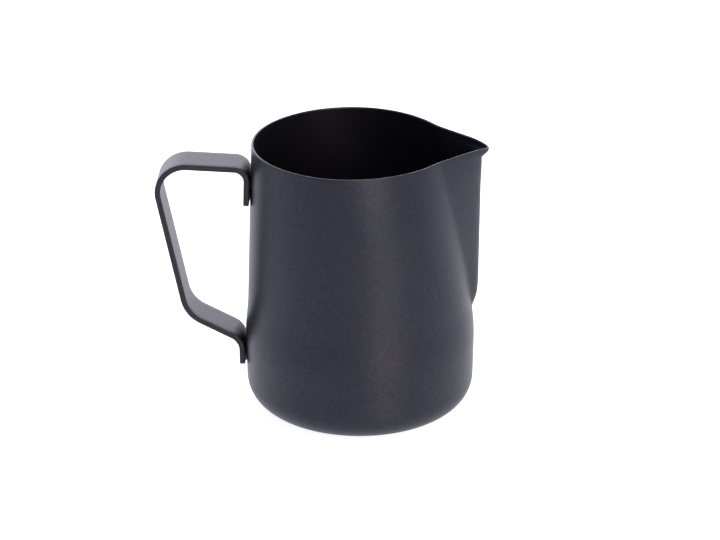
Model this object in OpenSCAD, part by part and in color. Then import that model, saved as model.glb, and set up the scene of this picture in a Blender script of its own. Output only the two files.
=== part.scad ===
// Milk frothing pitcher: deep-drawn steel jug with a pressed spout and a
// bent flat-strap handle that is resistance spot-welded to the wall.
// Frame: +Z up, the jug's axis is Z and its base stands on z = 0.
// The spout points along +X and the handle along -X.

/* [Body] */

// height of the rim above the base, mm
body_h = 108.6; // [80:0.2:160]
// outer diameter of the belly near the base, mm
belly_d = 91.2; // [60:0.2:130]
// outer diameter of the rim on the handle side, mm
rim_d = 83.4; // [55:0.2:120]
// slope of the upper wall, mm of radius per mm of height
wall_taper = 0.0408; // [0:0.001:0.1]
// sheet thickness, mm
wall_t = 0.9; // [0.6:0.1:1.5]
// inward draw of the belly from its widest part down to the base corner, mm
foot_draw = 0.25; // [0:0.05:3]
// outer radius of the rounded base corner, mm
corner_r = 11; // [4:0.2:20]
// height where the belly starts to draw in, mm
shoulder_low = 27; // [20:1:34]
// height where the plain upper taper starts, mm
shoulder_high = 44; // [38:1:60]

/* [Spout] */

// height of the notch where the spout ridge starts, mm
notch_z = 38.5; // [37:0.5:60]
// distance of the upright spout ridge from the axis, mm
ridge_r = 47.6; // [44:0.05:56]
// distance of the pouring tip from the axis, mm
tip_r = 50.5; // [46:0.1:62]
// height of the outward lip at the tip, mm
lip_h = 3.4; // [3:0.1:12]
// half angle between the two creases at the rim, degrees
crease_angle = 34.5; // [20:0.5:50]
// inward squeeze of the wall beside the spout at the rim, mm
squeeze = 5.2; // [0:0.1:9]
// half angle of the wall that the squeeze reaches at the rim, degrees
squeeze_angle = 119; // [70:1:150]
// drop of the rim from the handle side to the spout, mm
rim_drop = 0.85; // [0:0.05:4]
// extra drop of the very tip, mm
tip_drop = 1; // [0:0.1:4]

/* [Handle] */

// width of the strap, mm
strap_w = 15.6; // [10:0.2:25]
// thickness of the strap, mm
strap_t = 2.2; // [1.5:0.1:4]
// height of the lower end of the upper tab, mm
upper_tab_z = 83.9; // [70:0.1:95]
// straight length of the upper tab, mm
upper_tab_l = 10.6; // [6:0.1:20]
// straight length of the upper arm, mm
upper_arm_l = 18.3; // [10:0.1:40]
// rise of the upper arm away from the jug, degrees
upper_arm_rise = 3.1; // [-10:0.1:20]
// centre-line radius of the top bend of the grip, mm
top_bend_r = 11; // [6:0.2:20]
// straight length of the grip, mm
grip_l = 43.7; // [30:0.1:70]
// lean of the grip from the vertical, degrees
grip_lean = 11; // [0:0.5:25]
// centre-line radius of the elbow, mm
elbow_r = 13.2; // [5:0.2:20]
// fall of the lower arm toward the jug, degrees
lower_arm_fall = 27.9; // [0:0.5:60]
// straight length of the lower tab, mm
lower_tab_l = 6.9; // [5:0.1:15]

/* [Welds] */

// diameter of one spot-weld nugget, mm
nugget_d = 3.2; // [2:0.1:5]
// sideways pitch of the nuggets, mm
nugget_pitch = 4.6; // [3.5:0.1:6]

/* [Hidden] */

$fn = 96;

coat = [0.24, 0.25, 0.29];
strap_coat = [0.30, 0.30, 0.34];
bare_steel = [0.70, 0.70, 0.72];

belly_r = belly_d / 2;
// outer radius where the wall meets the base corner
foot_r = belly_r - foot_draw;
rim_r = rim_d / 2;

// the plain revolved cup ends here and the pressed wall starts
split_z = 36;
// how far the pressed wall is rooted inside the cup's wall
root_depth = 1.5;
// the root is this much thinner on each side than the cup's wall
root_inset = 0.06;

// height over which the ridge swells out of the notch
ridge_swell_h = 4.8;
// how deep the ridge's foot lies inside the upright ridge
ridge_foot = 2.35;
// inward lean of the ridge toward its foot, mm per mm
ridge_lean = 0.0075;
// half angle of the rounded ridge seen from the axis
ridge_half_angle = 4.2;
// how far the flanks spread the spout toward the rim
flank_spread = 1.6;
// height over which the flanks spread
flank_spread_h = 16;
// how much of the ridge's rounding the lip opens at the tip
lip_opening = 0.35;
// upright edge at the top of the lip
lip_edge_h = 0.85;
// blend of the creases beside the spout
crease_blend = 0.6;
// blend of the ridge's nose
nose_blend = 0.5;
// half angle that the tip's own drop fades over
tip_fade = 6;
// half angle that the rim's drop fades over
rim_fade = 90;

// clearance between the flat tabs and the round wall, filled by the nuggets
tab_gap = 0.12;
// centre-line radius of the bend above the upper tab
upper_tab_bend_r = 5;
// centre-line radius of the bend above the lower tab
lower_tab_bend_r = 7.1;
// chamfer that stands for the strap's rolled edge
strap_edge = 0.25;
// corner radius of the tab's free end
tab_corner_r = 2.5;
// largest turn between two stations of a bend, degrees
bend_step = 6;
// depth that a nugget is fused into each sheet
nugget_depth = 0.5;
// height of the lower nuggets above the lower tab's free end
lower_nugget_rise = 3;
// height of the first upper nuggets above the upper tab's free end
upper_nugget_rise = 3.2;

// ---- wall surface ----

function soft(t) = let (c = min(1, max(0, t))) c * c * (3 - 2 * c);

// radius of the tapered wall, before any pressing
function cone_r(z) = rim_r + wall_taper * (body_h - z);

// radius of the plain wall above the base corner
function plain_r(z) =
  let (w = soft((z - shoulder_low) / (shoulder_high - shoulder_low)))
  belly_r * (1 - w) + cone_r(z) * w;

// share of the spout's height, 0 at the notch and 1 at the rim
function rise_of(z) = min(1, max(0.0001, (z - notch_z) / (body_h - notch_z)));

function crease_at(s) = crease_angle * pow(s, 0.8) + 0.5;

// wall radius with the sides beside the spout squeezed inward
function squeezed_r(a, z, s) =
  let (reach = 20 + (squeeze_angle - 20) * s)
  plain_r(z) - squeeze * pow(s, 1.1) * soft((reach - a) / (reach - 0.6 * crease_at(s)));

// height of the pouring tip
tip_z = body_h - rim_drop - tip_drop;

// distance of the upright ridge from the axis
function ridge_at(z) =
  let (up = max(0, z - notch_z))
  ridge_r - ridge_lean * (body_h - z) - ridge_foot * exp(-pow(up / ridge_swell_h, 1.6));

// share of the spout's spread and of its outward lip, 0 below and 1 at the tip
function spread_at(z) = soft((z - tip_z + flank_spread_h) / flank_spread_h);
function lip_at(z) = soft((z - tip_z + lip_h) / (lip_h - lip_edge_h));

function soft_max(p, q, k) = (p + q + sqrt((p - q) * (p - q) + k * k)) / 2;
function soft_min(p, q, k) = (p + q - sqrt((p - q) * (p - q) + k * k)) / 2;

// radius of the flat spout flank at a degrees from the spout's plane
function flank_r(a, z, s, ridge, crease_r) =
  let (
    pc = crease_at(s),
    p0 = min(ridge_half_angle * min(1, 4 * s), 0.45 * pc),
    edge = ridge + flank_spread * spread_at(z),
    x0 = edge * cos(p0),
    y0 = edge * sin(p0),
    x1 = crease_r * cos(pc),
    y1 = crease_r * sin(pc),
    beta = max(0.1, atan2(y1 - y0, x0 - x1)),
    far = x0 * sin(beta) + y0 * cos(beta),
    lip = lip_at(z),
    nose = p0 * (1 - lip_opening * lip),
    cap = ridge + (tip_r - ridge) * lip,
    turn = min(90, beta + sqrt(a * a + nose * nose))
  )
  soft_min(min(far / sin(turn), cap + 3), cap, nose_blend);

// outer radius of the pressed wall
function wall_r(a, z) =
  z <= notch_z ? plain_r(z) :
  a > 80 ? squeezed_r(a, z, rise_of(z)) :
  let (
    s = rise_of(z),
    side = squeezed_r(a, z, s),
    crease_r = squeezed_r(crease_at(s), z, s),
    ridge = max(ridge_at(z), crease_r + 0.01),
    k = crease_blend * min(1, 0.15 + 3 * s)
  )
  soft_max(side, flank_r(a, z, s, ridge, crease_r), k);

// height of the rim at a degrees from the spout's plane
function rim_z(a) =
  body_h - rim_drop * soft((rim_fade - a) / rim_fade) - tip_drop * exp(-pow(a / tip_fade, 2));

// angles from the spout's plane: fine on the spout, coarse at the back
half_angles = concat(
  [for (a = [0:1.5:12]) a],
  [for (a = [14.5:2.5:52]) a],
  [for (a = [57:5:87]) a],
  [for (a = [93:6:177]) a]
);
last = len(half_angles) - 1;
angles = concat(half_angles, [180], [for (i = [last:-1:1]) -half_angles[i]]);
count = len(angles);

// rows of the pressed wall, as a share of the height from the split to the rim
rows = [
  0.035, 0.06, 0.09, 0.12, 0.16, 0.21, 0.28, 0.37, 0.47,
  0.58, 0.7, 0.81, 0.89, 0.947, 0.965, 0.984, 1
];

function row_z(t, a) = split_z + (rim_z(a) - split_z) * t;

function polar(r, a) = [r * cos(a), r * sin(a)];

// outer point of the wall in plan
function outer_xy(a, t) = polar(wall_r(abs(a), row_z(t, abs(a))), a);

// unit vector square to the wall in plan, pointing outward
function plan_normal(a, t) =
  let (d = outer_xy(a + 0.5, t) - outer_xy(a - 0.5, t))
  [d[1], -d[0]] / norm(d);

function wall_point(a, t, depth) =
  let (p = outer_xy(a, t) - depth * plan_normal(a, t))
  [p[0], p[1], row_z(t, abs(a))];

function root_point(a, z, depth) =
  let (p = polar(plain_r(z) - depth, a))
  [p[0], p[1], z];

// one closed ring of points at a depth inside the outer surface
function ring(t, depth) = [for (a = angles) wall_point(a, t, depth)];
function root_ring(z, depth) = [for (a = angles) root_point(a, z, depth)];

// rings from the root up the outside, over the rim and down the inside
loops = concat(
  [root_ring(split_z - root_depth, root_inset), root_ring(split_z, root_inset)],
  [for (t = rows) ring(t, 0)],
  [for (i = [len(rows) - 1:-1:0]) ring(rows[i], wall_t)],
  [root_ring(split_z, wall_t - root_inset), root_ring(split_z - root_depth, wall_t - root_inset)]
);

function at(k, i) = (k % len(loops)) * count + i % count;

pressed_points = [for (loop = loops) each loop];
pressed_faces = [
  for (k = [0:len(loops) - 1])
    for (i = [0:count - 1])
      each [
        [at(k, i), at(k + 1, i), at(k + 1, i + 1)],
        [at(k, i), at(k + 1, i + 1), at(k, i + 1)]
      ]
];

module pressed_wall() {
  polyhedron(points = pressed_points, faces = pressed_faces, convexity = 8);
}

// half section of the plain cup, grown inward by a depth
module cup_section(depth) {
  top = split_z + 1;
  heights = [for (z = [shoulder_low:1.5:split_z - 0.1]) z];
  translate([foot_r - corner_r, corner_r])
    circle(r = corner_r - depth);
  translate([0, depth])
    square([foot_r - corner_r, corner_r]);
  polygon(concat(
    [[0, corner_r], [foot_r - depth, corner_r]],
    [for (z = heights) [plain_r(z) - depth, z]],
    [[plain_r(split_z) - depth, split_z], [plain_r(split_z) - depth, top], [0, top]]
  ));
}

module cup() {
  rotate_extrude($fn = 180)
    difference() {
      intersection() {
        cup_section(0);
        square([belly_r + 1, split_z]);
      }
      cup_section(wall_t);
    }
}

module body_shell() {
  color(coat)
    difference() {
      union() {
        cup();
        pressed_wall();
      }
      upper_nuggets();
      lower_nuggets();
    }
}

// ---- handle ----

// distance of the upper tab's centre plane from the axis at its free end
upper_tab_x = cone_r(upper_tab_z) + tab_gap + strap_t / 2;
// lean of the upper tab along the tapered wall
upper_tab_lean = atan(wall_taper);

// headings of the strap's straight runs, seen from -Y with +X to the right
tab_heading = 90 - upper_tab_lean;
arm_heading = 180 - upper_arm_rise;
grip_heading = 270 + grip_lean;
low_heading = 360 - lower_arm_fall;

function leg(h, l) = l * [cos(h), sin(h)];
function arc_step(h0, h1, r) = r * [sin(h1) - sin(h0), cos(h0) - cos(h1)];

// ends of the straight runs, in x and z
tab_top = [-upper_tab_x, upper_tab_z] + leg(tab_heading, upper_tab_l);
arm_start = tab_top + arc_step(tab_heading, arm_heading, upper_tab_bend_r);
arm_end = arm_start + leg(arm_heading, upper_arm_l);
grip_start = arm_end + arc_step(arm_heading, grip_heading, top_bend_r);
grip_end = grip_start + leg(grip_heading, grip_l);
elbow_end = grip_end + arc_step(grip_heading, low_heading, elbow_r);
// centre plane of the lower tab, which lies along the belly
lower_tab_x = belly_r + tab_gap + strap_t / 2;
// the lower arm is as long as it takes to reach that plane
lower_arm_l = (-lower_tab_x - elbow_end[0] - lower_tab_bend_r * (1 - sin(lower_arm_fall)))
  / cos(lower_arm_fall);
// height of the lower tab's free end
lower_tab_z = elbow_end[1] - lower_arm_l * sin(lower_arm_fall)
  - lower_tab_bend_r * cos(lower_arm_fall) - lower_tab_l;
low_end = elbow_end + leg(low_heading, lower_arm_l);

// stations [x, z, heading, half width] along one bend
function bend_stations(p, h0, h1, r) =
  let (n = ceil(abs(h1 - h0) / bend_step))
  [for (i = [0:n]) let (h = h0 + (h1 - h0) * i / n) concat(p + arc_step(h0, h, r), [h, strap_w / 2])];

// station at angle a of a tab's rounded corner, from the free end p along heading h
function corner_station(p, h, out, a) =
  concat(p + leg(out, tab_corner_r * (1 - cos(a))), [h, strap_w / 2 - tab_corner_r * (1 - sin(a))]);

stations = concat(
  [for (a = [0:15:90]) corner_station([-upper_tab_x, upper_tab_z], tab_heading, tab_heading, a)],
  bend_stations(tab_top, tab_heading, arm_heading, upper_tab_bend_r),
  bend_stations(arm_end, arm_heading, grip_heading, top_bend_r),
  bend_stations(grip_end, grip_heading, low_heading, elbow_r),
  bend_stations(low_end, low_heading, 270, -lower_tab_bend_r),
  [for (a = [90:-15:0]) corner_station([-lower_tab_x, lower_tab_z], 270, 90, a)]
);

// the strap's section as [thickness offset, width offset], with rolled edges
function strap_section(w) =
  let (h = strap_t / 2, e = strap_edge)
  [
    [-h, -w + e], [-h + e, -w], [h - e, -w], [h, -w + e],
    [h, w - e], [h - e, w], [-h + e, w], [-h, w - e]
  ];

strap_points = [
  for (st = stations)
    for (q = strap_section(st[3]))
      [st[0] - q[0] * sin(st[2]), q[1], st[1] + q[0] * cos(st[2])]
];

strap_sides = 8;
strap_faces = concat(
  [[for (k = [0:strap_sides - 1]) k]],
  [
    for (i = [0:len(stations) - 2])
      for (k = [0:strap_sides - 1])
        let (j = i * strap_sides, m = (k + 1) % strap_sides)
          each [
            [j + k, j + strap_sides + k, j + strap_sides + m],
            [j + k, j + strap_sides + m, j + m]
          ]
  ],
  [[for (k = [strap_sides - 1:-1:0]) (len(stations) - 1) * strap_sides + k]]
);

module bent_strap() {
  polyhedron(points = strap_points, faces = strap_faces, convexity = 6);
}

module handle_strap() {
  color(strap_coat)
    difference() {
      bent_strap();
      upper_nuggets();
      lower_nuggets();
    }
}

// ---- spot welds ----

// one nugget along X that bridges the tab and the wall around wall radius r
module nugget(r, y, z) {
  sink = r - sqrt(r * r - y * y);
  translate([-r - tab_gap - nugget_depth, y, z])
    rotate([0, 90, 0])
      cylinder(d = nugget_d, h = 2 * nugget_depth + tab_gap + sink);
}

module upper_nuggets() {
  for (y = [-1, 1] * nugget_pitch / 2)
    for (z = [0, nugget_pitch])
      let (h = upper_tab_z + upper_nugget_rise + z)
        nugget(cone_r(h), y, h);
}

module lower_nuggets() {
  for (y = [-1, 0, 1] * nugget_pitch)
    nugget(belly_r, y, lower_tab_z + lower_nugget_rise);
}

module upper_weld_nuggets() {
  color(bare_steel)
    upper_nuggets();
}

module lower_weld_nuggets() {
  color(bare_steel)
    lower_nuggets();
}

body_shell();
handle_strap();
upper_weld_nuggets();
lower_weld_nuggets();
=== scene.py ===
"""Milk frothing pitcher: looks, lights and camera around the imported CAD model. Metres, +Z up."""
import bpy
import math
import numpy as np
from mathutils import Matrix, Vector


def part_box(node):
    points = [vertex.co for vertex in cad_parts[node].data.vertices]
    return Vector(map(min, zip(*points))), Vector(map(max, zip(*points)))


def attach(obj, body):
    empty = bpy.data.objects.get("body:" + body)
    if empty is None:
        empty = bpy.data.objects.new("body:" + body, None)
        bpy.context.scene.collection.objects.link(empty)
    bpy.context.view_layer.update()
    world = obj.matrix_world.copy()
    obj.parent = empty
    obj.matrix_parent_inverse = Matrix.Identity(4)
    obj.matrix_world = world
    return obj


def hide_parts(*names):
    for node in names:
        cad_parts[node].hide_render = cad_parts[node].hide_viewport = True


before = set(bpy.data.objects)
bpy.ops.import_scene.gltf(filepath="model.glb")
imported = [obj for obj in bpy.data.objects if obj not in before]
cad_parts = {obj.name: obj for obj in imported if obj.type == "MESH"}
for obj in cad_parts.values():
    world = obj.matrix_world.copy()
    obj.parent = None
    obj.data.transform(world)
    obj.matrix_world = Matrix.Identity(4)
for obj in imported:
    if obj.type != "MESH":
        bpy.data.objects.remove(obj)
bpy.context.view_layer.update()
scene = bpy.context.scene

MM = 0.001

# ---- sizes of the jug, in millimetres and degrees, as the CAD model has them ----
BODY_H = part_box("body_shell")[1].z / MM
BELLY_R = 45.6
RIM_R = 41.7
TAPER = 0.0408
WALL = 0.9
CORNER_R = 11.0
FOOT_DRAW = 0.25
SHOULDER_LOW, SHOULDER_HIGH = 27.0, 44.0
NOTCH_Z = 38.5
RIDGE_R = 47.6
TIP_R = 50.5
LIP_H, LIP_EDGE_H = 3.4, 0.85
LIP_OPENING = 0.35
CREASE_ANGLE, CREASE_POWER = 34.5, 0.8
CREASE_FOOT_ANGLE = 0.5
SQUEEZE, SQUEEZE_POWER = 5.2, 1.1
SQUEEZE_ANGLE, SQUEEZE_START_ANGLE = 119.0, 20.0
SQUEEZE_FULL_SHARE = 0.6
RIM_DROP, RIM_FADE_ANGLE = 0.85, 90.0
TIP_DROP, TIP_FADE_ANGLE = 1.0, 6.0
TIP_Z = BODY_H - RIM_DROP - TIP_DROP
RIDGE_LEAN = 0.0075
RIDGE_FOOT = 2.35
RIDGE_SWELL_H, RIDGE_SWELL_POWER = 4.8, 1.6
RIDGE_HALF_ANGLE, RIDGE_CREASE_SHARE = 4.2, 0.45
FLANK_SPREAD, FLANK_SPREAD_H = 1.6, 16.0
CREASE_BLEND, NOSE_BLEND = 0.6, 0.5

STRAP_W, STRAP_T = 15.6, 2.2
UPPER_TAB_Z, UPPER_TAB_L = 83.9, 10.6
UPPER_ARM_L, UPPER_ARM_RISE = 18.3, 3.1
TOP_BEND_R = 11.0
GRIP_L, GRIP_LEAN = 43.7, 11.0
ELBOW_R = 13.2
LOWER_ARM_FALL = 27.9
LOWER_TAB_L = 6.9
UPPER_TAB_BEND_R, LOWER_TAB_BEND_R = 5.0, 7.1
TAB_GAP = 0.12
TAB_CORNER_R = 2.5
NUGGET_PITCH = 4.6
UPPER_NUGGET_RISE, LOWER_NUGGET_RISE = 3.2, 3.0

# ---- sizes that only the smooth meshes have, in millimetres and degrees ----
PRESS_END_ANGLE, PRESS_FADE_ANGLE = 95.0, 30.0
STRAP_EDGE_R = 0.35
TAB_END_R = 1.05

# ---- light levels of the studio ----
FRONT_LEVEL, BACK_LEVEL, TOP_LEVEL = 0.25, 1.0, 0.45

# ---- the photo's camera: degrees, metres and millimetres of lens ----
VIEW_AZIMUTH = 1.0
VIEW_ELEVATION = 23.65
VIEW_DISTANCE = 0.8978
VIEW_ROLL = 0.22
LENS = 113.43
CENTRE_OFFSET = (0.00013, 0.000275)


def soft(t):
    """A smooth step from 0 to 1."""
    c = np.clip(t, 0.0, 1.0)
    return c * c * (3.0 - 2.0 * c)


def soft_max(p, q, k):
    """The larger of two values, blended over about k where they are close."""
    return (p + q + np.sqrt((p - q) ** 2 + k * k)) / 2


def soft_min(p, q, k):
    """The smaller of two values, blended in the same way."""
    return (p + q - np.sqrt((p - q) ** 2 + k * k)) / 2


def from_spout(angle):
    """Degrees between an angle and the spout's plane, on either side."""
    return np.abs((angle + 180.0) % 360.0 - 180.0)


# ---- the wall's surface: heights and radii in mm, angles in degrees from the spout's plane ----

def cone_r(z):
    """Radius of the tapered wall, before any pressing."""
    return RIM_R + TAPER * (BODY_H - z)


def plain_r(z):
    """Radius of the revolved wall above the base corner."""
    w = soft((z - SHOULDER_LOW) / (SHOULDER_HIGH - SHOULDER_LOW))
    foot = np.clip((SHOULDER_LOW - z) / (SHOULDER_LOW - CORNER_R), 0.0, 1.0)
    return BELLY_R * (1 - w) + cone_r(z) * w - FOOT_DRAW * foot


def crease_at(s):
    """Half angle between the creases, where s goes from 0 at the notch to 1 at the rim."""
    return CREASE_ANGLE * s ** CREASE_POWER + CREASE_FOOT_ANGLE


def squeezed_r(a, z, s):
    """Radius with the sides beside the spout squeezed inward, fully so inside the creases."""
    reach = SQUEEZE_START_ANGLE + (SQUEEZE_ANGLE - SQUEEZE_START_ANGLE) * s
    full = SQUEEZE_FULL_SHARE * crease_at(s)
    return plain_r(z) - SQUEEZE * s ** SQUEEZE_POWER * soft((reach - a) / (reach - full))


def ridge_at(z):
    """Distance of the upright ridge from the axis; it swells out of the notch."""
    up = np.maximum(0.0, z - NOTCH_Z)
    foot = RIDGE_FOOT * np.exp(-(up / RIDGE_SWELL_H) ** RIDGE_SWELL_POWER)
    return RIDGE_R - RIDGE_LEAN * (BODY_H - z) - foot


def flank_r(a, z, s, ridge, crease):
    """Radius of the flat spout flank and of the rounded nose between the two flanks."""
    crease_angle = crease_at(s)
    edge = ridge + FLANK_SPREAD * soft((z - TIP_Z + FLANK_SPREAD_H) / FLANK_SPREAD_H)
    lip = soft((z - TIP_Z + LIP_H) / (LIP_H - LIP_EDGE_H))
    # the nose widens over the first quarter of the height and stays well inside the creases
    widened = RIDGE_HALF_ANGLE * np.minimum(1.0, 4.0 * s)
    nose_angle = np.minimum(widened, RIDGE_CREASE_SHARE * crease_angle)
    rc, rn = np.radians(crease_angle), np.radians(nose_angle)
    least_turn = 0.0018
    flank_turn = np.maximum(np.arctan2(crease * np.sin(rc) - edge * np.sin(rn),
                                       edge * np.cos(rn) - crease * np.cos(rc)), least_turn)
    far = edge * np.cos(rn) * np.sin(flank_turn) + edge * np.sin(rn) * np.cos(flank_turn)
    nose = nose_angle * (1.0 - LIP_OPENING * lip)
    cap = ridge + (TIP_R - ridge) * lip
    turn = np.minimum(math.pi / 2, flank_turn + np.radians(np.sqrt(a * a + nose * nose)))
    # far outside the cap the flank no longer counts, so it is cut off there
    flank = np.minimum(far / np.sin(turn), cap + 3.0)
    return soft_min(flank, cap, NOSE_BLEND)


def wall_r(angle, z):
    """Outer radius of the wall, with its pressed spout."""
    a = from_spout(angle)
    s = np.clip((z - NOTCH_Z) / (BODY_H - NOTCH_Z), 0.0001, 1.0)
    side = squeezed_r(a, z, s)
    crease = squeezed_r(crease_at(s), z, s)
    ridge = np.maximum(ridge_at(z), crease + 0.01)
    # the creases start sharp at the notch and soften above it
    blend = CREASE_BLEND * np.minimum(1.0, 0.15 + 3.0 * s)
    pressed = soft_max(side, flank_r(a, z, s, ridge, crease), blend)
    fade = soft((PRESS_END_ANGLE - a) / PRESS_FADE_ANGLE)
    return np.where(z <= NOTCH_Z, plain_r(z), side + (pressed - side) * fade)


def rim_z(angle):
    """Height of the rim, which falls toward the spout and a little more at its tip."""
    a = from_spout(angle)
    rim_drop = RIM_DROP * soft((RIM_FADE_ANGLE - a) / RIM_FADE_ANGLE)
    return BODY_H - rim_drop - TIP_DROP * np.exp(-(a / TIP_FADE_ANGLE) ** 2)


def plan_normal(angle, z):
    """Unit vector square to the wall in plan, pointing outward."""
    d = 0.25
    lo, hi = np.radians(angle - d), np.radians(angle + d)
    r_lo, r_hi = wall_r(angle - d, z), wall_r(angle + d, z)
    dx = r_hi * np.cos(hi) - r_lo * np.cos(lo)
    dy = r_hi * np.sin(hi) - r_lo * np.sin(lo)
    n = np.hypot(dx, dy)
    return dy / n, -dx / n


def mesh_object(name, verts, faces, smooth=True, wear=None):
    """An object in the scene; wear says for every point how much its coating is rubbed."""
    mesh = bpy.data.meshes.new(name)
    mesh.from_pydata([tuple(v) for v in verts], [], faces)
    if wear is not None:
        rub = mesh.attributes.new("wear", "FLOAT", "POINT")
        rub.data.foreach_set("value", np.asarray(wear, dtype=np.float32))
    mesh.validate()
    mesh.update()
    if smooth:
        mesh.polygons.foreach_set("use_smooth", [True] * len(mesh.polygons))
    obj = bpy.data.objects.new(name, mesh)
    scene.collection.objects.link(obj)
    return obj


def ring_faces(rows, cols):
    """Quads between closed rows of points; they face outward where the rows climb the outside."""
    out = []
    for row in range(rows - 1):
        for i in range(cols):
            low, high, after = row * cols, (row + 1) * cols, (i + 1) % cols
            out.append((low + i, low + after, high + after, high + i))
    return out


# ---- the drawn body: one skin from the base's centre, up the wall, over the rim and down inside ----

def ring_angles():
    """Angles of one ring: fine on the spout, coarse at the back."""
    steps = ((0, 9, 0.5), (9, 46, 1.0), (46, 100, 2.0), (100, 180, 2.5))
    half = np.concatenate([np.arange(*step) for step in steps])
    return np.concatenate([half, [180.0], -half[:0:-1]])


def body_mesh():
    angles = ring_angles()
    n = len(angles)
    ca, sa = np.cos(np.radians(angles)), np.sin(np.radians(angles))
    foot_rub, foot_rub_turn = 0.5, 0.3
    rows = []
    wear = []

    def flat_ring(r, z, rub=0.0):
        rows.append(np.stack([r * ca, r * sa, np.full(n, z)], 1))
        wear.append(np.full(n, rub))

    def corner_rows(radius, turns):
        for turn in turns:
            r = BELLY_R - FOOT_DRAW - CORNER_R + radius * math.sin(turn)
            rubbed = radius == CORNER_R and turn < foot_rub_turn
            flat_ring(r, CORNER_R - radius * math.cos(turn), foot_rub if rubbed else 0.0)

    def wall_rows(shares, depth):
        for share in shares:
            z = CORNER_R + (rim_z(angles) - WALL / 2 - CORNER_R) * share
            nx, ny = plan_normal(angles, z)
            r = wall_r(angles, z)
            rows.append(np.stack([r * ca - depth * nx, r * sa - depth * ny, z], 1))
            wear.append(np.full(n, 0.0))

    def rim_rows(turns):
        roll = WALL / 2
        z = rim_z(angles) - roll
        nx, ny = plan_normal(angles, z)
        r = wall_r(angles, z)
        for turn in turns:
            depth = roll - roll * math.cos(turn)
            height = z + roll * math.sin(turn)
            rows.append(np.stack([r * ca - depth * nx, r * sa - depth * ny, height], 1))
            wear.append(np.full(n, math.sin(turn)))

    # the first radius keeps the faces around the axis four-sided and leaves a pinhole of 0.0002 mm there
    floor_radii = (0.0001, 8, 16, 24, 30, 33)
    quarter = np.linspace(0, math.pi / 2, 15)
    # rows of the wall as a share of its height, with closer ones below the rim
    shares = np.unique(np.concatenate([np.linspace(0, 1, 98), np.linspace(0.93, 1, 14)]))
    for r in floor_radii:
        flat_ring(r, 0.0)
    corner_rows(CORNER_R, quarter)
    wall_rows(shares[1:], 0.0)
    rim_rows(np.linspace(0, math.pi, 9)[1:-1])
    wall_rows(shares[:0:-1], WALL)
    corner_rows(CORNER_R - WALL, quarter[::-1])
    for r in reversed(floor_radii):
        flat_ring(r, WALL)
    verts = np.concatenate(rows) * MM
    faces = ring_faces(len(rows), n)
    return mesh_object("pitcher_body", verts, faces, wear=np.concatenate(wear))


body = body_mesh()
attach(body, "root")
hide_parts("body_shell")


# ---- the bent strap ----

def leg(p, heading, length):
    """The point a straight length away from p."""
    turn = math.radians(heading)
    return (p[0] + length * math.cos(turn), p[1] + length * math.sin(turn))


def arc_step(p, h0, h1, r):
    """The point at the end of a bend that starts at p with heading h0 and ends with heading h1."""
    a0, a1 = math.radians(h0), math.radians(h1)
    return (p[0] + r * (math.sin(a1) - math.sin(a0)), p[1] + r * (math.cos(a0) - math.cos(a1)))


def strap_path():
    """Stations (x, z, heading) along the strap's centre plane, in mm and degrees."""
    tab_h = 90 - math.degrees(math.atan(TAPER))
    down = 270
    arm_h, grip_h, low_h = 180 - UPPER_ARM_RISE, down + GRIP_LEAN, 360 - LOWER_ARM_FALL
    arm_step, tab_step, bend_degrees = 0.6, 0.15, 3
    out = []

    def straight(p, h, length, step):
        n = max(2, int(length / step))
        for i in range(n):
            out.append((*leg(p, h, length * i / n), h))
        return leg(p, h, length)

    def bend(p, h0, h1, r):
        n = int(abs(h1 - h0) / bend_degrees)
        for i in range(n):
            h = h0 + (h1 - h0) * i / n
            out.append((*arc_step(p, h0, h, r), h))
        return arc_step(p, h0, h1, r)

    p = (-(cone_r(UPPER_TAB_Z) + TAB_GAP + STRAP_T / 2), UPPER_TAB_Z)
    p = straight(p, tab_h, UPPER_TAB_L, tab_step)
    p = bend(p, tab_h, arm_h, UPPER_TAB_BEND_R)
    p = straight(p, arm_h, UPPER_ARM_L, arm_step)
    p = bend(p, arm_h, grip_h, TOP_BEND_R)
    p = straight(p, grip_h, GRIP_L, arm_step)
    p = bend(p, grip_h, low_h, ELBOW_R)
    tab_x = -(BELLY_R + TAB_GAP + STRAP_T / 2)
    fall = math.radians(LOWER_ARM_FALL)
    arm = (tab_x - p[0] - LOWER_TAB_BEND_R * (1 - math.sin(fall))) / math.cos(fall)
    p = straight(p, low_h, arm, arm_step)
    p = bend(p, low_h, down, -LOWER_TAB_BEND_R)
    p = straight(p, down, LOWER_TAB_L, tab_step)
    out.append((*p, down))
    return out


def strap_section():
    """Points around the strap, a rectangle with rounded edges.

    Each is (thickness side, width side, thickness share, width share). On a corner both sides are
    set and the shares lie on its arc; on a flat one side is 0 and its share says where.
    """
    section = []
    for st, sw, base in ((1, 1, 0), (-1, 1, 90), (-1, -1, 180), (1, -1, 270)):
        for a in (0, 22.5, 45, 67.5, 90):
            t = math.radians(base + a)
            section.append((st, sw, math.cos(t), math.sin(t)))
        if st * sw > 0:
            for f in (0.5, 0.0, -0.5):
                section.append((0, sw, f * sw, 0))
        else:
            for f in (0.75, 0.5, 0.25, 0.0, -0.25, -0.5, -0.75):
                section.append((st, 0, 0, -f if st > 0 else f))
    return section


def rounded_end(end, r):
    """How far a round end of radius r has drawn in, at a distance from the free end."""
    inside = np.clip(r - end, 0, r)
    return r - np.sqrt(r * r - inside ** 2)


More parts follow.
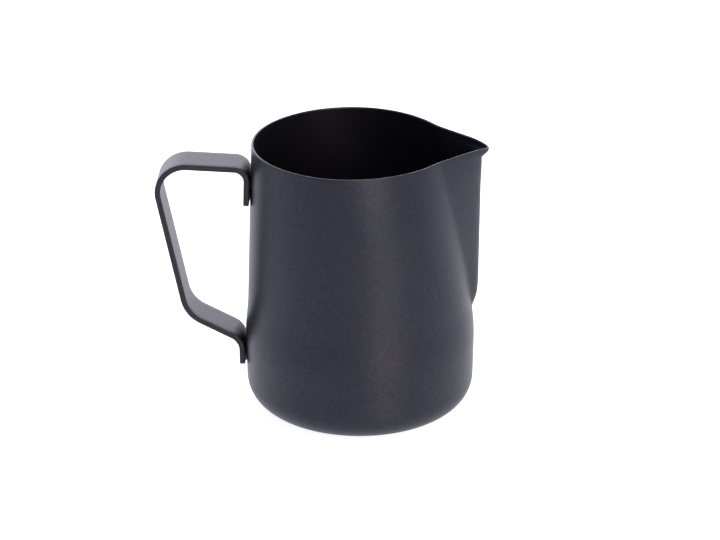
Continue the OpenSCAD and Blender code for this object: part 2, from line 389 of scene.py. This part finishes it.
def strap_mesh():
    path = np.array(strap_path())
    xz, h = path[:, :2], np.radians(path[:, 2])
    run = np.concatenate([[0], np.cumsum(np.hypot(*np.diff(xz, axis=0).T))])
    end = np.minimum(run, run[-1] - run)
    shrink = rounded_end(end, TAB_END_R)
    half_t = STRAP_T / 2 - 0.95 * shrink
    half_w = STRAP_W / 2 - rounded_end(end, TAB_CORNER_R) - 0.5 * shrink
    edge = np.minimum(STRAP_EDGE_R, half_t * 0.9)
    section = strap_section()
    cols = len(section)
    verts = np.zeros((len(path), cols, 3))
    for k, (st, sw, u, v) in enumerate(section):
        if st and sw:
            t = st * (half_t - edge) + edge * u
            w = sw * (half_w - edge) + edge * v
        elif sw:
            t = u * (half_t - edge)
            w = sw * half_w
        else:
            t = st * half_t
            w = v * (half_w - edge)
        verts[:, k, 0] = xz[:, 0] - t * np.sin(h)
        verts[:, k, 1] = w
        verts[:, k, 2] = xz[:, 1] + t * np.cos(h)
    faces = [tuple(reversed(face)) for face in ring_faces(len(path), cols)]
    last = (len(path) - 1) * cols
    faces.append(tuple(range(cols)))
    faces.append(tuple(last + k for k in reversed(range(cols))))
    # the coating rubs off on the rolled edges, which are the corners of the section
    rolled = [1.0 if st and sw and 0.2 < abs(u) < 0.95 else 0.0 for st, sw, u, v in section]
    return mesh_object("pitcher_handle", verts.reshape(-1, 3) * MM, faces, wear=np.tile(rolled, len(path)))


handle = strap_mesh()
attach(handle, "root")
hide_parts("handle_strap")


# ---- materials ----

class Tree:
    """A small helper that builds a node tree and wires it."""

    def __init__(self, name):
        self.mat = bpy.data.materials.new(name)
        self.mat.use_nodes = True
        self.nt = self.mat.node_tree
        self.nt.nodes.clear()
        self.out = self.add("ShaderNodeOutputMaterial")
        self.bsdf = self.add("ShaderNodeBsdfPrincipled")
        self.link(self.bsdf, "BSDF", self.out, "Surface")

    def add(self, kind, **values):
        node = self.nt.nodes.new(kind)
        for key, value in values.items():
            setattr(node, key, value)
        return node

    def link(self, a, a_out, b, b_in):
        self.nt.links.new(a.outputs[a_out], b.inputs[b_in])

    def noise(self, scale, detail, rough):
        n = self.add("ShaderNodeTexNoise")
        n.inputs["Scale"].default_value = scale
        n.inputs["Detail"].default_value = detail
        n.inputs["Roughness"].default_value = rough
        self.link(self.add("ShaderNodeTexCoord"), "Object", n, "Vector")
        return n

    def ramp(self, source, out, stops):
        r = self.add("ShaderNodeValToRGB")
        r.color_ramp.elements[0].position = stops[0][0]
        r.color_ramp.elements[0].color = (*stops[0][1], 1)
        r.color_ramp.elements[1].position = stops[-1][0]
        r.color_ramp.elements[1].color = (*stops[-1][1], 1)
        for pos, col in stops[1:-1]:
            e = r.color_ramp.elements.new(pos)
            e.color = (*col, 1)
        self.link(source, out, r, "Fac")
        return r

    def mix(self, fac, a, b, mode="MIX"):
        """The factor and the two colours can each be a value or (node, output)."""
        m = self.add("ShaderNodeMix", data_type="RGBA", blend_type=mode)
        for value, socket in ((fac, 0), (a, 6), (b, 7)):
            if isinstance(value, tuple) and hasattr(value[0], "outputs"):
                self.nt.links.new(value[0].outputs[value[1]], m.inputs[socket])
            elif isinstance(value, tuple):
                m.inputs[socket].default_value = (*value, 1)
            else:
                m.inputs[socket].default_value = value
        return m

    def scaled(self, source, out, lo, hi):
        r = self.add("ShaderNodeMapRange")
        r.inputs["To Min"].default_value = lo
        r.inputs["To Max"].default_value = hi
        self.link(source, out, r, "Value")
        return r

    def math(self, operation, a, b):
        m = self.add("ShaderNodeMath", operation=operation)
        for value, socket in ((a, 0), (b, 1)):
            if isinstance(value, tuple):
                self.nt.links.new(value[0].outputs[value[1]], m.inputs[socket])
            else:
                m.inputs[socket].default_value = value
        return m

    def dimples(self, centres, onto):
        """Round pressed marks of 4 mm at the given points."""
        inner_r, outer_r, depth = 0.0016, 0.0021, 0.00012
        position = self.add("ShaderNodeTexCoord")
        nearest = None
        for centre in centres:
            far = self.add("ShaderNodeVectorMath", operation="DISTANCE")
            self.link(position, "Object", far, 0)
            far.inputs[1].default_value = centre
            distance = (far, "Value")
            nearest = (self.math("MINIMUM", nearest, distance), 0) if nearest else distance
        pressed = self.add("ShaderNodeMapRange", interpolation_type="SMOOTHSTEP")
        pressed.inputs["From Min"].default_value = inner_r
        pressed.inputs["From Max"].default_value = outer_r
        self.link(*nearest, pressed, "Value")
        return self.bump(pressed, "Result", 1.0, depth, onto)

    def bump(self, source, out, strength, distance, onto=None):
        b = self.add("ShaderNodeBump")
        b.inputs["Strength"].default_value = strength
        b.inputs["Distance"].default_value = distance
        self.link(source, out, b, "Height")
        if onto:
            self.link(onto, "Normal", b, "Normal")
        return b


def coat(name, deep, light, roughness, gloss, cool, violet, marks):
    """Satin baked coating on steel: sparkling grain, faint cloudy hue, orange peel, rubbed edges."""
    bare_edge = (0.034, 0.034, 0.037)
    t = Tree(name)
    cloud = t.noise(28, 3.0, 0.55)
    grain = t.noise(760, 2.0, 0.6)
    speck = t.noise(4200, 1.0, 0.5)
    wear = t.add("ShaderNodeAttribute", attribute_name="wear")
    hue = t.ramp(cloud, "Fac", [(0.3, deep), (0.7, light)])
    dots = t.ramp(speck, "Fac", [(0.30, (0.7, 0.7, 0.72)), (0.52, (1, 1, 1)), (0.74, (1.5, 1.5, 1.55))])
    colour = t.mix(1.0, (hue, "Color"), (dots, "Color"), "MULTIPLY")
    patchy = t.scaled(t.noise(260, 3.0, 0.6), "Fac", 0.0, 0.9)
    rubbed = t.math("MULTIPLY", (wear, "Fac"), (patchy, "Result"))
    worn = t.mix((rubbed, 0), (colour, 2), bare_edge)
    t.link(worn, 2, t.bsdf, "Base Color")
    tint = t.ramp(cloud, "Fac", [(0.35, cool), (0.65, violet)])
    t.link(tint, "Color", t.bsdf, "Specular Tint")
    sparkle = t.scaled(grain, "Fac", gloss * 0.7, gloss * 1.3)
    t.link(sparkle, "Result", t.bsdf, "Specular IOR Level")
    rough = t.scaled(t.noise(1900, 2.0, 0.6), "Fac", roughness + 0.05, roughness - 0.05)
    polish = t.math("MULTIPLY", (rubbed, 0), 0.08)
    sanded = t.math("SUBTRACT", (rough, "Result"), (polish, 0))
    t.link(sanded, 0, t.bsdf, "Roughness")
    peel = t.bump(grain, "Fac", 0.5, 0.00013)
    fine = t.bump(speck, "Fac", 0.3, 0.00002, peel)
    last = t.dimples(marks, fine)
    t.link(last, "Normal", t.bsdf, "Normal")
    return t.mat


# electrode marks: shallow round dimples over every nugget, on the tabs and inside the wall, as (y, z)
UPPER_MARK_Z = UPPER_TAB_Z + UPPER_NUGGET_RISE
LOWER_MARK_Z = strap_path()[-1][1] + LOWER_NUGGET_RISE
UPPER_MARKS = [(y * NUGGET_PITCH / 2, UPPER_MARK_Z + dz) for y in (-1, 1) for dz in (0, NUGGET_PITCH)]
LOWER_MARKS = [(y * NUGGET_PITCH, LOWER_MARK_Z) for y in (-1, 0, 1)]


def wall_marks():
    """Mark centres on the inside of the wall, in metres."""
    top = [(cone_r(z) - WALL, y, z) for y, z in UPPER_MARKS]
    low = [(BELLY_R - WALL, y, z) for y, z in LOWER_MARKS]
    return [Vector((-math.sqrt(r ** 2 - y * y), y, z)) * MM for r, y, z in top + low]


def tab_marks():
    """Mark centres on the outer faces of the flat tabs, in metres."""
    top = [(cone_r(z), y, z) for y, z in UPPER_MARKS]
    low = [(BELLY_R, y, z) for y, z in LOWER_MARKS]
    return [Vector((-(r + TAB_GAP + STRAP_T), y, z)) * MM for r, y, z in top + low]


body.data.materials.append(coat(
    "body_coat", deep=(0.0026, 0.0030, 0.0040), light=(0.0034, 0.0030, 0.0042), roughness=0.42, gloss=0.485,
    cool=(0.68, 0.80, 1.0), violet=(0.74, 0.79, 1.0), marks=wall_marks()))
handle.data.materials.append(coat(
    "handle_coat", deep=(0.012, 0.0128, 0.0145), light=(0.014, 0.0140, 0.0165), roughness=0.40, gloss=0.33,
    cool=(0.81, 0.835, 1.0), violet=(0.855, 0.825, 1.0), marks=tab_marks()))


def weld_steel():
    """Fused steel, darkened by the weld's heat and darkened further as painted shade, since the nuggets sit
    in the shaded slit between tab and wall.
    """
    t = Tree("weld_steel")
    cloud = t.noise(1500, 3.0, 0.6)
    # these dark steel colours are partly painted shade of the slit between tab and wall
    colour = t.ramp(cloud, "Fac", [(0.3, (0.060, 0.058, 0.062)), (0.7, (0.120, 0.116, 0.120))])
    t.link(colour, "Color", t.bsdf, "Base Color")
    t.bsdf.inputs["Metallic"].default_value = 1.0
    rough = t.scaled(cloud, "Fac", 0.3, 0.5)
    t.link(rough, "Result", t.bsdf, "Roughness")
    return t.mat


# the nuggets get the weld steel whose colour carries painted shade
nugget_steel_painted_shade = weld_steel()
for name in ("upper_weld_nuggets", "lower_weld_nuggets"):
    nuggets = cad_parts[name]
    nuggets.data.materials.clear()
    nuggets.data.materials.append(nugget_steel_painted_shade)


# ---- stage, light and camera ----

def floor_plane():
    """A white, slightly glossy table that is bright enough to hold no visible reflection."""
    half = 3
    corners = [(-half, -half, 0), (half, -half, 0), (half, half, 0), (-half, half, 0)]
    floor = mesh_object("floor", corners, [(0, 1, 2, 3)], smooth=False)
    t = Tree("floor_white")
    t.bsdf.inputs["Base Color"].default_value = (0.35, 0.35, 0.35, 1)
    t.bsdf.inputs["Roughness"].default_value = 0.12
    t.bsdf.inputs["Emission Color"].default_value = (0.92, 0.94, 1.0, 1)
    t.bsdf.inputs["Emission Strength"].default_value = 0.93
    floor.data.materials.append(t.mat)


floor_plane()


def studio_walls():
    """A pale studio: bright behind the object, dimmer on the camera's side, brighter overhead."""
    world = bpy.data.worlds.new("studio")
    scene.world = world
    world.use_nodes = True
    nt = world.node_tree
    background = nt.nodes["Background"]
    background.inputs["Color"].default_value = (0.80, 0.79, 1.0, 1)
    position = nt.nodes.new("ShaderNodeTexCoord")
    sep = nt.nodes.new("ShaderNodeSeparateXYZ")
    nt.links.new(position.outputs["Generated"], sep.inputs[0])
    depth = nt.nodes.new("ShaderNodeMapRange")
    depth.inputs["From Min"].default_value = -1.0
    depth.inputs["To Min"].default_value = FRONT_LEVEL
    depth.inputs["To Max"].default_value = BACK_LEVEL
    nt.links.new(sep.outputs["Y"], depth.inputs["Value"])
    height = nt.nodes.new("ShaderNodeMapRange")
    height.interpolation_type = "SMOOTHSTEP"
    height.inputs["To Min"].default_value = 0.0
    height.inputs["To Max"].default_value = TOP_LEVEL
    nt.links.new(sep.outputs["Z"], height.inputs["Value"])
    total = nt.nodes.new("ShaderNodeMath")
    total.operation = "ADD"
    nt.links.new(depth.outputs[0], total.inputs[0])
    nt.links.new(height.outputs[0], total.inputs[1])
    nt.links.new(total.outputs[0], background.inputs["Strength"])


studio_walls()


def softbox(name, azimuth, elevation, distance, size, power, colour, target):
    """A light panel that faces the target; azimuth runs from -Y, the camera's side, toward +X."""
    a, e = math.radians(azimuth), math.radians(elevation)
    d = Vector((math.sin(a) * math.cos(e), -math.cos(a) * math.cos(e), math.sin(e)))
    light = bpy.data.lights.new(name, "AREA")
    light.shape = "RECTANGLE"
    light.size, light.size_y = size
    light.energy = power
    light.color = colour
    lamp = bpy.data.objects.new(name, light)
    lamp.location = target + d * distance
    lamp.rotation_euler = (-d).to_track_quat("-Z", "Y").to_euler()
    scene.collection.objects.link(lamp)


middle = Vector((0, 0, BODY_H / 2 * MM))
softbox("key_softbox", azimuth=25, elevation=20, distance=1.1, size=(0.48, 0.6), power=9.0,
        colour=(1.0, 0.74, 0.66), target=middle)
softbox("back_softbox", azimuth=180, elevation=18, distance=1.2, size=(1.8, 0.8), power=10.0,
        colour=(1.0, 0.97, 1.0), target=middle)


def photo_camera():
    """The camera of the photo: it looks at the jug's middle, moved a little off centre and rolled."""
    a, e, r = (math.radians(v) for v in (VIEW_AZIMUTH, VIEW_ELEVATION, VIEW_ROLL))
    fwd = Vector((-math.cos(e) * math.sin(a), math.cos(e) * math.cos(a), -math.sin(e)))
    right = Vector((math.cos(a), math.sin(a), 0))
    up = right.cross(fwd)
    pos = middle - fwd * VIEW_DISTANCE + right * CENTRE_OFFSET[0] + up * CENTRE_OFFSET[1]
    r_axis = right * math.cos(r) - up * math.sin(r)
    u_axis = right * math.sin(r) + up * math.cos(r)
    cam = bpy.data.cameras.new("camera")
    cam.sensor_width = 36.0
    cam.lens = LENS
    cam.clip_start = 0.01
    placed = bpy.data.objects.new("camera", cam)
    pose = Matrix((r_axis, u_axis, -fwd)).transposed().to_4x4()
    pose.translation = pos
    placed.matrix_world = pose
    scene.collection.objects.link(placed)
    scene.camera = placed


photo_camera()
scene.view_settings.view_transform = "Standard"
scene.view_settings.look = "None"
